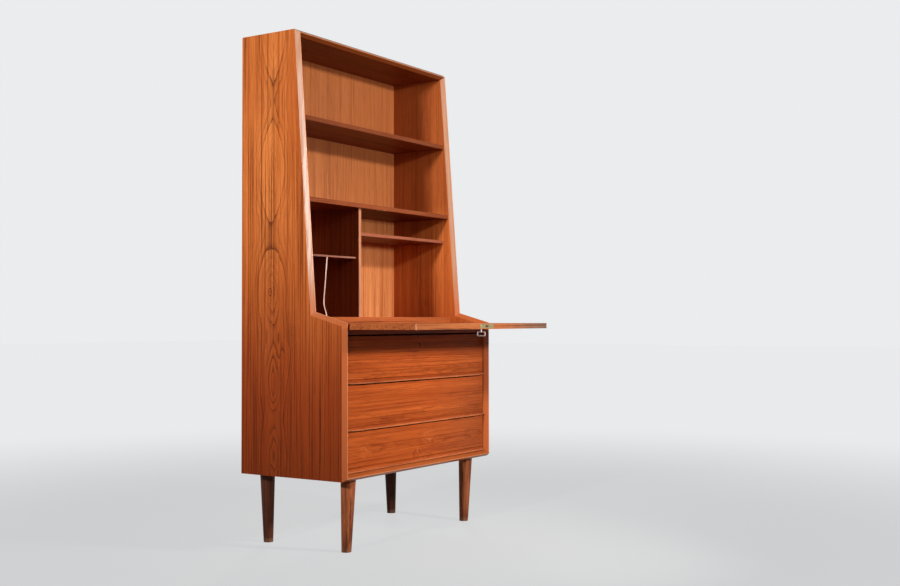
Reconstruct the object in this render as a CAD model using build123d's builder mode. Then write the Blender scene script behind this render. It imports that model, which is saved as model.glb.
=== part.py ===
from build123d import *
from math import atan, cos, degrees, sqrt, tan
import os

os.makedirs("parts", exist_ok=True)

# A free-standing secretary desk: an open bookcase leans back above a stepped case, a flap drops
# to make the writing surface, and three drawers with coved lips stand below on tapered legs.
# Millimetres, +Z up, +X to the right, front faces -Y. The origin is on the floor, in the middle
# of the footprint with the flap open.

# Case: overall sizes and the outline of its sides, measured to the ridge of the front edges
leg_height = 235.0
case_width = 880.0
case_depth = 437.0
case_height = 1455.0
shoulder_over_flap = 2.0
shoulder_climb = 35.5
shoulder_depth = 128.0
top_setback = 196.0

# Bevelled front edges: two bevels rise from the faces of a panel to a narrow flat
panel = 21.0
ridge_rise = 15.5
ridge_flat = 2.0

# Boards inside the case
back_thickness = 8.0
back_rabbet = 8.0
shelf_thickness = 15.0
shelf_setback = 20.0
floor_height = 519.0
flap_bay_height = 376.0
upper_bay_height = 254.0
floor_thickness = 22.0
deck_thickness = 16.0
bearer_width = 34.0

# Compartments behind the flap
letter_bay_width = 304.0
divider_thickness = 14.0
small_bay_height = 82.5
small_shelf_thickness = 11.0
letter_slot_height = 202.0
letter_board = 6.0
letter_shelf_setback = 13.0
letter_divider_setback = 4.0
letter_divider_hollow = 15.0
letter_divider_foot = 45.0
letter_divider_turn = 60.0
compartment_gap = 2.0

# Flap and its pivots
flap_thickness = 19.0
flap_side_gap = 1.5
flap_head_gap = 1.5
flap_rest_gap = 0.3
flap_back_gap = 0.5
pin_diameter = 8.0
pin_in_flap = 18.0
pin_in_bush = 8.0
bush_diameter = 12.0
bush_length = 10.0
running_gap = 0.05

# Flap lock and key
plate_length = 90.0
plate_height = 14.0
plate_thickness = 2.0
lock_length = 60.0
lock_height = 13.0
lock_depth = 40.0
lock_wall = 1.0
bolt_width = 20.0
bolt_height = 7.0
bolt_length = 14.0
bolt_travel = 7.0
bolt_gap = 0.2
key_backset = 23.0
key_stem_diameter = 5.0
keyhole_diameter = 6.0
keyhole_slot_width = 3.0
keyhole_slot_length = 8.0
key_bit_reach = 6.0
key_bit_height = 5.0
key_bit_thickness = 2.2
key_bow_width = 32.0
key_bow_height = 16.0
key_bow_corner = 3.5
key_bow_thickness = 2.6
key_bow_rim = 3.4
key_bow_drop = 8.0
strike_length = 50.0
strike_width = 15.0
strike_thickness = 1.2
strike_depth = 9.0
strike_margin = 2.0

# Drawers, from the top down: the first two pitches are set and the last takes what is left
upper_drawer_pitch = 160.0
middle_drawer_pitch = 149.0
drawer_inset = 20.0
front_thickness = 18.0
front_gap = 4.5
front_head_gap = 5.2
front_foot_gap = 2.5
front_side_gap = 1.2
lip_depth = 8.0
lip_edge = 5.0
lip_lift = 3.0
lip_run = 85.0
cove_radius = 6.0
cove_undercut = 1.5
box_thickness = 12.0
box_side_gap = 3.0
box_rise = 14.0
box_headroom = 26.0
box_back_gap = 19.0
bottom_thickness = 5.0
bottom_rise = 10.0
bottom_groove = 6.0
runner_height = 10.0
runner_bite = 5.0
groove_gap = 1.0

# Lock of the top drawer
drawer_lock_width = 50.0
drawer_lock_height = 46.0
drawer_lock_depth = 10.0
drawer_bolt_width = 18.0
drawer_bolt_depth = 6.0
drawer_bolt_length = 18.0
drawer_bolt_travel = 9.0
drawer_keyhole_drop = 31.0
deck_mortise_depth = drawer_bolt_travel
mortise_gap = 2.0

# Legs: the front feet stand a little behind their tops, and the back feet a little before theirs
leg_top_diameter = 50.0
leg_foot_diameter = 32.0
leg_side_inset = 87.0
leg_front_inset = 56.5
leg_back_inset = 38.0
leg_front_lean = 7.5
leg_back_lean = 4.5
leg_spare = 4.0
stud_diameter = 8.0
stud_in_leg = 30.0
stud_in_case = 14.0

# Heights that follow, from the floor up
case_bottom = leg_height
case_top = case_bottom + case_height
bottom_top = case_bottom + panel
floor_top = case_bottom + floor_height
floor_under = floor_top - floor_thickness
flap_top = floor_under
axis_z = flap_top - flap_thickness / 2
flap_under = flap_top - flap_thickness
deck_top = flap_under - flap_rest_gap
deck_under = deck_top - deck_thickness
letter_shelf_under = floor_top + letter_slot_height
letter_shelf_top = letter_shelf_under + letter_board
middle_shelf_under = floor_top + flap_bay_height
middle_shelf_top = middle_shelf_under + shelf_thickness
small_shelf_top = middle_shelf_under - small_bay_height
upper_shelf_under = middle_shelf_top + upper_bay_height
upper_shelf_top = upper_shelf_under + shelf_thickness
shoulder_front_z = flap_top + shoulder_over_flap
shoulder_back_z = shoulder_front_z + shoulder_climb

# Slope of the upper front, and the reach of the flap from its axis to its far edge
slope = atan((top_setback - shoulder_depth) / (case_top - shoulder_back_z))
shoulder_rise = shoulder_climb / shoulder_depth
shoulder_angle = atan(shoulder_rise)
flap_swing = middle_shelf_under - flap_head_gap - axis_z
flap_reach = sqrt(flap_swing**2 - (flap_thickness / 2) ** 2)
axis_from_ridge = (
    shoulder_depth
    + (axis_z - shoulder_back_z) * tan(slope)
    + shelf_setback
    + flap_thickness / 2 / cos(slope)
)

# Front to back: the footprint runs from the far edge of the open flap to the back of the case
footprint_depth = case_depth + flap_reach - axis_from_ridge
y_back = footprint_depth / 2
y_ridge = y_back - case_depth
y_flap_edge = -footprint_depth / 2
axis_y = y_ridge + axis_from_ridge
y_inside_back = y_back - back_thickness
y_drawer_face = y_ridge + drawer_inset
y_box_front = y_drawer_face + front_thickness

# Side to side
x_outer = case_width / 2
x_inner = x_outer - panel
x_divider = -x_inner + letter_bay_width

# Legs stand in from the sides, the front and the back
x_leg_offset = x_outer - leg_side_inset
y_leg_front = y_ridge + leg_front_inset
y_leg_back = y_back - leg_back_inset
leg_places = [(x, y) for y in (y_leg_front, y_leg_back) for x in (-x_leg_offset, x_leg_offset)]
y_foot_front = y_leg_front + leg_front_lean
y_foot_back = y_leg_back - leg_back_lean
foot_places = [(x, y) for y in (y_foot_front, y_foot_back) for x in (-x_leg_offset, x_leg_offset)]


def ridge_line(height):
    """Where the ridge of the leaning front edge stands at a height."""
    return y_ridge + shoulder_depth + (height - shoulder_back_z) * tan(slope)


def shelf_line(height):
    """The line that the shelf edges and the closed flap's outer face keep to."""
    return ridge_line(height) + shelf_setback


def closed_flap_back(height):
    """The inner face of the closed flap at a height."""
    return shelf_line(height) + flap_thickness / cos(slope)


y_floor_front = closed_flap_back(floor_top) + flap_back_gap
y_compartments = closed_flap_back(middle_shelf_under) + compartment_gap


def slab(x_range, y_range, z_range, mode=Mode.ADD):
    """A board, or a straight cut, between three pairs of planes."""
    spans = (x_range, y_range, z_range)
    with Locations(tuple((low + high) / 2 for low, high in spans)):
        Box(*(high - low for low, high in spans), mode=mode)


def save(builder, label):
    """Names a finished piece and writes it."""
    builder.part.label = label
    export_step(builder.part, f"parts/{label}.step")


# Outlines of a side: the ridge, and the arris where a bevel meets a face
bevel = (panel - ridge_flat) / 2
arris_back = ridge_rise / cos(slope)
arris_drop = ridge_rise / cos(shoulder_angle)


def side_outline(back_shift, drop, front_shift):
    """Corners of a side seen from the right, with its front edges moved in by a bevel."""
    shoulder_low = shoulder_front_z - drop + shoulder_rise * front_shift
    line_start = shoulder_depth - shoulder_back_z * tan(slope) + back_shift
    corner_rise = shoulder_front_z - drop
    corner_y = (line_start + corner_rise * tan(slope)) / (1 - shoulder_rise * tan(slope))
    corner_z = corner_rise + shoulder_rise * corner_y
    top_y = top_setback + back_shift
    return [
        (y_ridge + front_shift, case_bottom),
        (y_ridge + front_shift, shoulder_low),
        (y_ridge + corner_y, corner_z),
        (y_ridge + top_y, case_top),
        (y_back, case_top),
        (y_back, case_bottom),
    ]


ridge_outline = side_outline(0, 0, 0)
arris_outline = side_outline(arris_back, arris_drop, ridge_rise)


def case_side(x_face, inward, label):
    """One side: bevelled front edges, mitred ends, a rabbet for the back and a bush hole."""
    x_in = x_face + inward * panel
    with BuildPart() as side:
        outlines = (
            (x_face, arris_outline),
            (x_face + inward * bevel, ridge_outline),
            (x_in - inward * bevel, ridge_outline),
            (x_in, arris_outline),
        )
        for x_section, outline in outlines:
            with BuildSketch(Plane.YZ.offset(x_section)):
                Polygon(*outline, align=None)
        loft(ruled=True)
        for z_end, z_mitre in ((case_bottom, bottom_top), (case_top, case_top - panel)):
            with BuildSketch(Plane.XZ.offset(-y_back)):
                Polygon((x_face, z_end), (x_in, z_end), (x_in, z_mitre), align=None)
            extrude(amount=case_depth, mode=Mode.SUBTRACT)
        rabbet = sorted((x_in, x_in - inward * back_rabbet))
        rabbet_z = (bottom_top - back_rabbet, case_top - panel + back_rabbet)
        slab(rabbet, (y_inside_back, y_back), rabbet_z, Mode.SUBTRACT)
        bush_plane = Plane(origin=(x_in, axis_y, axis_z), z_dir=(-inward, 0, 0))
        with BuildSketch(bush_plane):
            Circle(bush_diameter / 2)
        extrude(amount=bush_length, mode=Mode.SUBTRACT)
    save(side, label)


case_side(-x_outer, 1, "left_side")
case_side(x_outer, -1, "right_side")


def mitred_panel(section, z_long, z_short, label):
    """Top or bottom panel: a bevelled section across the case, mitred to both sides."""
    with BuildPart() as board:
        with BuildSketch(Plane.YZ.offset(-x_outer)):
            Polygon(*section, align=None)
        extrude(amount=case_width)
        for side in (-1, 1):
            with BuildSketch(Plane.XZ.offset(-y_back)):
                Polygon(
                    (side * x_outer, z_long),
                    (side * x_outer, z_short),
                    (side * x_inner, z_short),
                    align=None,
                )
            extrude(amount=case_depth, mode=Mode.SUBTRACT)
        inward = 1 if z_short > z_long else -1
        rabbet = sorted((z_short, z_short - inward * back_rabbet))
        back_width = x_inner + back_rabbet
        slab((-back_width, back_width), (y_inside_back, y_back), rabbet, Mode.SUBTRACT)
        if label == "bottom_panel":
            for x_leg, y_leg in leg_places:
                with BuildSketch(Plane.XY.offset(case_bottom)):
                    with Locations((x_leg, y_leg)):
                        Circle(stud_diameter / 2 + running_gap)
                extrude(amount=stud_in_case, mode=Mode.SUBTRACT)
    save(board, label)


top_section = [
    (ridge_line(case_top) + arris_back, case_top),
    (ridge_line(case_top - bevel), case_top - bevel),
    (ridge_line(case_top - panel + bevel), case_top - panel + bevel),
    (ridge_line(case_top - panel) + arris_back, case_top - panel),
    (y_back, case_top - panel),
    (y_back, case_top),
]
bottom_section = [
    (y_ridge + ridge_rise, case_bottom),
    (y_ridge, case_bottom + bevel),
    (y_ridge, bottom_top - bevel),
    (y_ridge + ridge_rise, bottom_top),
    (y_back, bottom_top),
    (y_back, case_bottom),
]
mitred_panel(top_section, case_top, case_top - panel, "top_panel")
mitred_panel(bottom_section, case_bottom, bottom_top, "bottom_panel")

# Back panel, held in the rabbet all round
with BuildPart() as back_panel:
    back_half = x_inner + back_rabbet
    back_z = (bottom_top - back_rabbet, case_top - panel + back_rabbet)
    slab((-back_half, back_half), (y_inside_back, y_back), back_z)
save(back_panel, "back_panel")

# Deck over the drawers, with a mortise for the bolt of the top drawer
y_bolt_middle = y_box_front - drawer_lock_depth / 2
with BuildPart() as deck:
    slab((-x_inner, x_inner), (y_drawer_face, y_inside_back), (deck_under, deck_top))
    mortise_half_x = drawer_bolt_width / 2 + mortise_gap
    mortise_half_y = drawer_bolt_depth / 2 + mortise_gap
    slab(
        (-mortise_half_x, mortise_half_x),
        (y_bolt_middle - mortise_half_y, y_bolt_middle + mortise_half_y),
        (deck_under, deck_under + deck_mortise_depth),
        Mode.SUBTRACT,
    )
save(deck, "deck")

# Two bearers carry the desk floor on the deck, behind the rounded edge of the flap
y_bearer = axis_y + flap_thickness / 2 + flap_back_gap
bearers = (
    ("front_bearer", (max(y_bearer, y_floor_front), max(y_bearer, y_floor_front) + bearer_width)),
    ("rear_bearer", (y_inside_back - bearer_width, y_inside_back)),
)
for label, y_range in bearers:
    with BuildPart() as bearer:
        slab((-x_inner, x_inner), y_range, (deck_top, floor_under))
    save(bearer, label)

with BuildPart() as desk_floor:
    slab((-x_inner, x_inner), (y_floor_front, y_inside_back), (floor_under, floor_top))
save(desk_floor, "desk_floor")

with BuildPart() as upper_shelf:
    y_edge = shelf_line(upper_shelf_top - shelf_thickness / 2)
    slab((-x_inner, x_inner), (y_edge, y_inside_back), (upper_shelf_under, upper_shelf_top))
save(upper_shelf, "upper_shelf")

# Middle shelf: its underside takes the strike plate and the bolt of the closed flap
y_bolt_closed = axis_y + (middle_shelf_under - axis_z) * tan(slope)
strike_hole_x = bolt_width / 2 + strike_margin
strike_hole_y = bolt_height / 2 + strike_margin
with BuildPart() as middle_shelf:
    y_edge = shelf_line(middle_shelf_top - shelf_thickness / 2)
    slab((-x_inner, x_inner), (y_edge, y_inside_back), (middle_shelf_under, middle_shelf_top))
    slab(
        (-strike_length / 2, strike_length / 2),
        (y_bolt_closed - strike_width / 2, y_bolt_closed + strike_width / 2),
        (middle_shelf_under, middle_shelf_under + strike_thickness),
        Mode.SUBTRACT,
    )
    slab(
        (-strike_hole_x, strike_hole_x),
        (y_bolt_closed - strike_hole_y, y_bolt_closed + strike_hole_y),
        (middle_shelf_under, middle_shelf_under + strike_depth),
        Mode.SUBTRACT,
    )
save(middle_shelf, "middle_shelf")

with BuildPart() as strike_plate:
    with BuildSketch(Plane.XY.offset(middle_shelf_under)):
        with Locations((0, y_bolt_closed)):
            Rectangle(strike_length, strike_width)
            Rectangle(2 * strike_hole_x, 2 * strike_hole_y, mode=Mode.SUBTRACT)
    extrude(amount=strike_thickness)
save(strike_plate, "strike_plate")

# Compartment boards
with BuildPart() as divider:
    x_range = (x_divider, x_divider + divider_thickness)
    slab(x_range, (y_compartments, y_inside_back), (floor_top, middle_shelf_under))
save(divider, "divider")

with BuildPart() as small_shelf:
    z_range = (small_shelf_top - small_shelf_thickness, small_shelf_top)
    slab((x_divider + divider_thickness, x_inner), (y_compartments, y_inside_back), z_range)
save(small_shelf, "small_shelf")

y_letter_shelf = y_compartments + letter_shelf_setback
with BuildPart() as letter_shelf:
    slab((-x_inner, x_divider), (y_letter_shelf, y_inside_back), (letter_shelf_under, letter_shelf_top))
save(letter_shelf, "letter_shelf")

# Letter divider: its front edge slants back and turns forward again near its foot
x_letter_divider = -x_inner + (letter_bay_width - letter_board) / 2
y_letter_edge = y_letter_shelf + letter_divider_setback
with BuildPart() as letter_divider:
    with BuildSketch(Plane.YZ.offset(x_letter_divider)):
        with BuildLine():
            edge = FilletPolyline(
                (y_letter_edge, letter_shelf_under),
                (y_letter_edge + letter_divider_hollow, floor_top + letter_divider_foot),
                (y_letter_edge, floor_top),
                radius=letter_divider_turn,
            )
            Polyline(
                edge @ 1,
                (y_inside_back, floor_top),
                (y_inside_back, letter_shelf_under),
                edge @ 0,
            )
        make_face()
    extrude(amount=letter_board)
save(letter_divider, "letter_divider")

# Legs: leaning cones with some spare length, cut level at both ends, each on a threaded stud
leg_names = ("leg_front_left", "leg_front_right", "leg_back_left", "leg_back_right")
for label, top_place, foot_place in zip(leg_names, leg_places, foot_places):
    foot_point = Vector(*foot_place, 0)
    run = Vector(*top_place, leg_height) - foot_point
    lean = run.normalized()
    spread = (leg_top_diameter - leg_foot_diameter) / 2 / run.length
    with BuildPart() as leg:
        with Locations(Plane(foot_point - lean * leg_spare, x_dir=(1, 0, 0), z_dir=lean)):
            Cone(
                leg_foot_diameter / 2 - spread * leg_spare,
                leg_top_diameter / 2 + spread * leg_spare,
                run.length + 2 * leg_spare,
                align=(Align.CENTER, Align.CENTER, Align.MIN),
            )
        x_range = (top_place[0] - leg_top_diameter, top_place[0] + leg_top_diameter)
        y_range = (top_place[1] - leg_top_diameter, top_place[1] + leg_top_diameter)
        slab(x_range, y_range, (0, leg_height), Mode.INTERSECT)
        with BuildSketch(Plane.XY.offset(leg_height)):
            with Locations(top_place):
                Circle(stud_diameter / 2 + running_gap)
        extrude(amount=-stud_in_leg, mode=Mode.SUBTRACT)
    save(leg, label)

with BuildPart() as leg_studs:
    with BuildSketch(Plane.XY.offset(leg_height - stud_in_leg)):
        with Locations(*leg_places):
            Circle(stud_diameter / 2)
    extrude(amount=stud_in_leg + stud_in_case)
save(leg_studs, "leg_studs")

# Flap: a rounded rear edge on the axis, a mortised lock in the far edge, a keyhole underneath
x_flap = x_inner - flap_side_gap
y_key = y_flap_edge + key_backset
y_plate_back = y_flap_edge + plate_thickness
y_lock_back = y_plate_back + lock_depth
lock_z = (axis_z - lock_height / 2, axis_z + lock_height / 2)
with BuildPart() as flap:
    with BuildSketch(Plane.YZ.offset(-x_flap)):
        with BuildLine():
            rounded = CenterArc((axis_y, axis_z), flap_thickness / 2, -90, 180)
            Polyline(rounded @ 1, (y_flap_edge, flap_top), (y_flap_edge, flap_under), rounded @ 0)
        make_face()
    extrude(amount=2 * x_flap)
    plate_half = plate_length / 2
    plate_z = (axis_z - plate_height / 2, axis_z + plate_height / 2)
    slab((-plate_half, plate_half), (y_flap_edge, y_plate_back), plate_z, Mode.SUBTRACT)
    lock_half = lock_length / 2
    slab((-lock_half, lock_half), (y_plate_back, y_lock_back), lock_z, Mode.SUBTRACT)
    with BuildSketch(Plane.XY.offset(flap_under)):
        with Locations((0, y_key)):
            Circle(keyhole_diameter / 2)
        with Locations((0, y_key + keyhole_slot_length / 2)):
            Rectangle(keyhole_slot_width, keyhole_slot_length)
    extrude(amount=lock_z[0] - flap_under, mode=Mode.SUBTRACT)
    for side in (-1, 1):
        end_plane = Plane(origin=(side * x_flap, axis_y, axis_z), z_dir=(-side, 0, 0))
        with BuildSketch(end_plane):
            Circle(pin_diameter / 2 + running_gap)
        extrude(amount=pin_in_flap, mode=Mode.SUBTRACT)
save(flap, "flap")

with BuildPart() as pivot_pins:
    for side in (-1, 1):
        x_pin_end = side * (x_inner + pin_in_bush)
        pin_plane = Plane(origin=(x_pin_end, axis_y, axis_z), z_dir=(-side, 0, 0))
        with BuildSketch(pin_plane):
            Circle(pin_diameter / 2)
        extrude(amount=pin_in_bush + flap_side_gap + pin_in_flap)
save(pivot_pins, "pivot_pins")

with BuildPart() as pivot_bushes:
    for side in (-1, 1):
        mouth_plane = Plane(origin=(side * x_inner, axis_y, axis_z), z_dir=(side, 0, 0))
        with BuildSketch(mouth_plane):
            Circle(bush_diameter / 2)
            Circle(pin_diameter / 2 + running_gap, mode=Mode.SUBTRACT)
        extrude(amount=bush_length)
save(pivot_bushes, "pivot_bushes")

# Flap lock: an open case behind a brass faceplate
with BuildPart() as lock_case:
    slab((-lock_half, lock_half), (y_plate_back, y_lock_back), lock_z)
    slab(
        (-lock_half + lock_wall, lock_half - lock_wall),
        (y_plate_back, y_lock_back - lock_wall),
        (lock_z[0] + lock_wall, lock_z[1] - lock_wall),
        Mode.SUBTRACT,
    )
    with BuildSketch(Plane.XY.offset(lock_z[0])):
        with Locations((0, y_key)):
            Circle(keyhole_diameter / 2)
        with Locations((0, y_key + keyhole_slot_length / 2)):
            Rectangle(keyhole_slot_width, keyhole_slot_length)
    extrude(amount=lock_wall, mode=Mode.SUBTRACT)
save(lock_case, "lock_case")

with BuildPart() as lock_faceplate:
    with BuildSketch(Plane.XZ.offset(-y_plate_back)):
        with Locations((0, axis_z)):
            Rectangle(plate_length, plate_height)
            Rectangle(bolt_width + 2 * bolt_gap, bolt_height + 2 * bolt_gap, mode=Mode.SUBTRACT)
    extrude(amount=plate_thickness)
save(lock_faceplate, "lock_faceplate")

with BuildPart() as flap_bolt:
    with BuildSketch(Plane.XZ.offset(-y_flap_edge - bolt_length)):
        with Locations((0, axis_z)):
            Rectangle(bolt_width, bolt_height)
    extrude(amount=bolt_length - bolt_gap)
save(flap_bolt, "flap_bolt")

# Key: a bow with an eye hangs under the flap, the stem and bit stand inside the lock case
key_top = lock_z[1] - lock_wall - bolt_gap
bow_top = flap_under - key_bow_drop
bow_middle = bow_top - key_bow_height / 2
with BuildPart() as flap_key:
    with BuildSketch(Plane.YZ.offset(-key_bow_thickness / 2)):
        with Locations((y_key, bow_middle)):
            RectangleRounded(key_bow_width, key_bow_height, key_bow_corner)
            eye_width = key_bow_width - 2 * key_bow_rim
            eye_height = key_bow_height - 2 * key_bow_rim
            RectangleRounded(eye_width, eye_height, key_bow_corner / 2, mode=Mode.SUBTRACT)
    extrude(amount=key_bow_thickness)
    with BuildSketch(Plane.XY.offset(bow_top - key_bow_rim / 2)):
        with Locations((0, y_key)):
            Circle(key_stem_diameter / 2)
    extrude(amount=key_top - bow_top + key_bow_rim / 2)
    bit_half = key_bit_thickness / 2
    slab((-bit_half, bit_half), (y_key, y_key + key_bit_reach), (key_top - key_bit_height, key_top))
save(flap_key, "flap_key")

# Drawers: where each front stands, from the top down
line_1 = deck_under - upper_drawer_pitch
line_2 = line_1 - middle_drawer_pitch
x_front = x_inner - front_side_gap
x_box = x_inner - box_side_gap
y_box_back = y_inside_back - box_back_gap
y_lip = y_drawer_face - lip_depth
drawers = (
    ("upper", deck_under - front_head_gap, line_1 + front_gap / 2, False, True),
    ("middle", line_1 - front_gap / 2, line_2 + front_gap / 2, True, True),
    ("lower", line_2 - front_gap / 2, bottom_top + front_foot_gap, True, False),
)


def edge_line(height, lifted):
    """Half of a front's edge from the middle outwards: level, then swept up to the end."""
    if not lifted:
        return [Line((0, height), (x_front, height))]
    level = Line((0, height), (x_front - lip_run, height))
    swept = TangentArc(level @ 1, (x_front, height + lip_lift), tangent=(1, 0))
    return [level, swept]


def drawer_front(label, z_high, z_low, top_swept, low_swept, with_lock):
    """A drawer front: edges that follow the next front's, and a coved lip along the bottom."""
    with BuildPart() as front:
        with BuildSketch(Plane.XZ.offset(-y_box_front)):
            with BuildLine():
                lower = edge_line(z_low, low_swept)
                upper = edge_line(z_high, top_swept)
                Line(lower[-1] @ 1, upper[-1] @ 1)
                Line(lower[0] @ 0, upper[0] @ 0)
            make_face()
            mirror(about=Plane.YZ)
        extrude(amount=front_thickness)
        with BuildSketch(Plane.XZ.offset(-y_drawer_face)):
            with BuildLine():
                lower = edge_line(z_low, low_swept)
                lip_top = z_low + lip_edge + cove_radius
                Line(lower[-1] @ 1, (x_front, lip_top))
                Line((x_front, lip_top), (0, lip_top))
                Line((0, lip_top), lower[0] @ 0)
            make_face()
            mirror(about=Plane.YZ)
        extrude(amount=lip_depth)
        cove_y = y_drawer_face - cove_radius + cove_undercut
        with BuildSketch(Plane.YZ.offset(-x_front)):
            with Locations((cove_y, z_low + lip_edge + cove_radius)):
                Circle(cove_radius)
            with Locations((y_lip - lip_depth, z_low + lip_edge)):
                Rectangle(cove_y - y_lip + lip_depth, cove_radius, align=Align.MIN)
        extrude(amount=2 * x_front, mode=Mode.SUBTRACT)
        groove_z = z_low + box_rise + bottom_rise
        groove = (y_box_front - bottom_groove, y_box_front)
        x_groove = x_box - box_thickness
        slab((-x_groove, x_groove), groove, (groove_z, groove_z + bottom_thickness), Mode.SUBTRACT)
        if with_lock:
            pocket = (y_box_front - drawer_lock_depth, y_box_front)
            x_pocket = drawer_lock_width / 2
            slab((-x_pocket, x_pocket), pocket, (z_high - drawer_lock_height, z_high), Mode.SUBTRACT)
            with BuildSketch(Plane.XZ.offset(-pocket[0])):
                with Locations((0, z_high - drawer_keyhole_drop)):
                    Circle(keyhole_diameter / 2)
                with Locations((0, z_high - drawer_keyhole_drop - keyhole_slot_length / 2)):
                    Rectangle(keyhole_slot_width, keyhole_slot_length)
            extrude(amount=pocket[0] - y_drawer_face, mode=Mode.SUBTRACT)
    save(front, f"{label}_drawer_front")


def drawer_box(label, z_high, z_low):
    """The sides, back and bottom of a drawer, with grooves for its bottom and its runners."""
    box_low = z_low + box_rise
    box_high = z_high - box_headroom
    bottom_z = (box_low + bottom_rise, box_low + bottom_rise + bottom_thickness)
    run_top = runner_top(z_high, z_low)
    x_inside = x_box - box_thickness
    x_bottom = x_inside + bottom_groove
    for hand, side in (("left", -1), ("right", 1)):
        with BuildPart() as box_side:
            slab(sorted((side * x_inside, side * x_box)), (y_box_front, y_box_back), (box_low, box_high))
            slab(
                sorted((side * x_inside, side * x_bottom)),
                (y_box_front, y_box_back),
                bottom_z,
                Mode.SUBTRACT,
            )
            slab(
                sorted((side * (x_box - runner_bite - groove_gap), side * x_box)),
                (y_box_front, y_box_back),
                (run_top - runner_height - groove_gap, run_top),
                Mode.SUBTRACT,
            )
        save(box_side, f"{label}_drawer_{hand}_side")
    with BuildPart() as box_back:
        slab((-x_inside, x_inside), (y_box_back - box_thickness, y_box_back), (bottom_z[1], box_high))
    save(box_back, f"{label}_drawer_back")
    with BuildPart() as box_bottom:
        slab((-x_bottom, x_bottom), (y_box_front, y_box_back), bottom_z)
        slab((-x_inside, x_inside), (y_box_front - bottom_groove, y_box_front), bottom_z)
    save(box_bottom, f"{label}_drawer_bottom")


def runner_top(z_high, z_low):
    """Height of the runner that a drawer hangs on, at the middle of its sides."""
    return (z_low + box_rise + z_high - box_headroom + runner_height) / 2


for label, z_high, z_low, top_swept, low_swept in drawers:
    drawer_front(label, z_high, z_low, top_swept, low_swept, label == "upper")
    drawer_box(label, z_high, z_low)

# Runners on the sides of the case, two to a drawer
with BuildPart() as drawer_runners:
    for label, z_high, z_low, top_swept, low_swept in drawers:
        top = runner_top(z_high, z_low)
        for side in (-1, 1):
            x_range = sorted((side * (x_box - runner_bite), side * x_inner))
            slab(x_range, (y_box_front + front_thickness, y_inside_back), (top - runner_height, top))
save(drawer_runners, "drawer_runners")

# Lock of the top drawer, let into the back of its front, with a bolt that shoots up
lock_top = deck_under - front_head_gap
bolt_half_y = drawer_bolt_depth / 2
with BuildPart() as drawer_lock:
    x_lock = drawer_lock_width / 2
    y_lock = (y_box_front - drawer_lock_depth, y_box_front)
    slab((-x_lock, x_lock), y_lock, (lock_top - drawer_lock_height, lock_top))
    channel = drawer_bolt_width / 2 + bolt_gap
    slab(
        (-channel, channel),
        (y_bolt_middle - bolt_half_y - bolt_gap, y_bolt_middle + bolt_half_y + bolt_gap),
        (lock_top - drawer_bolt_length - bolt_gap, lock_top),
        Mode.SUBTRACT,
    )
    with BuildSketch(Plane.XZ.offset(-y_lock[0])):
        with Locations((0, lock_top - drawer_keyhole_drop)):
            Circle(keyhole_diameter / 2)
    extrude(amount=-drawer_lock_depth / 2, mode=Mode.SUBTRACT)
save(drawer_lock, "drawer_lock")

with BuildPart() as drawer_bolt:
    x_bolt = drawer_bolt_width / 2
    y_range = (y_bolt_middle - bolt_half_y, y_bolt_middle + bolt_half_y)
    slab((-x_bolt, x_bolt), y_range, (lock_top - drawer_bolt_length, lock_top))
save(drawer_bolt, "drawer_bolt")

print("flap axis", round(axis_y, 3), round(axis_z, 3), "closes by", round(90 + degrees(slope), 3))
print("front and back", round(y_flap_edge, 3), round(y_ridge, 3), round(y_back, 3))
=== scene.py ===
"""Looks of a teak secretary desk: wood, brass and steel finishes, screws, studio floor, lamps and camera."""

import logging
import math
from dataclasses import dataclass, field, replace
from enum import Enum
from typing import Dict, Sequence, Tuple, Union

import bpy
from mathutils import Matrix, Vector


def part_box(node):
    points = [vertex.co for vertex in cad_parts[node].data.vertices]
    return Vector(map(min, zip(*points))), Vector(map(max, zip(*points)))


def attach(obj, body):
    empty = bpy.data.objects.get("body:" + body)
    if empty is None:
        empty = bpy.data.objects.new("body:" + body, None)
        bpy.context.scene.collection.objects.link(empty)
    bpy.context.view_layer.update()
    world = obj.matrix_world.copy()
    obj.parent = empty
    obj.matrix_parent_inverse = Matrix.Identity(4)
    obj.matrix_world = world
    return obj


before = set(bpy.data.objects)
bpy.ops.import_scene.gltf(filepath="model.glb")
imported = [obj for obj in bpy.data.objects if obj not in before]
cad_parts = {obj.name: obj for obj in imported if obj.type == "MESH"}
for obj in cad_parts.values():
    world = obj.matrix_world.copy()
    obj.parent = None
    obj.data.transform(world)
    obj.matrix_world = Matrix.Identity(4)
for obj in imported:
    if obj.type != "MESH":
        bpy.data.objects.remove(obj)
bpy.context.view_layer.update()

log = logging.getLogger("secretary_desk")

Colour = Tuple[float, float, float]
Point = Tuple[float, float, float]
Stops = Tuple[Tuple[float, float], ...]
# A plane's direction, how far along it the plane lies, and half the width of its soft edge
Plane = Tuple[Point, float, float]

MILLIMETRE = 0.001
# A tone that belongs to one face reaches this far into the board, softly
SKIN = 0.25 * MILLIMETRE

ORIGIN: Point = (0.0, 0.0, 0.0)
LEFT: Point = (-1.0, 0.0, 0.0)
RIGHT: Point = (1.0, 0.0, 0.0)
FRONT: Point = (0.0, -1.0, 0.0)
REAR: Point = (0.0, 1.0, 0.0)
UP: Point = (0.0, 0.0, 1.0)
DOWN: Point = (0.0, 0.0, -1.0)


class Grain(Enum):
    """Which way a board's grain runs: rows are the axes along, across and through the board."""

    UPRIGHT_SIDE = ((0, 0, 1), (0, 1, 0), (-1, 0, 0))
    UPRIGHT_BACK = ((0, 0, 1), (1, 0, 0), (0, 1, 0))
    LEVEL_FRONT = ((1, 0, 0), (0, 0, 1), (0, -1, 0))
    LEVEL_FLAT = ((1, 0, 0), (0, 1, 0), (0, 0, 1))
    DEPTH_SIDE = ((0, 1, 0), (0, 0, 1), (1, 0, 0))


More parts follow.
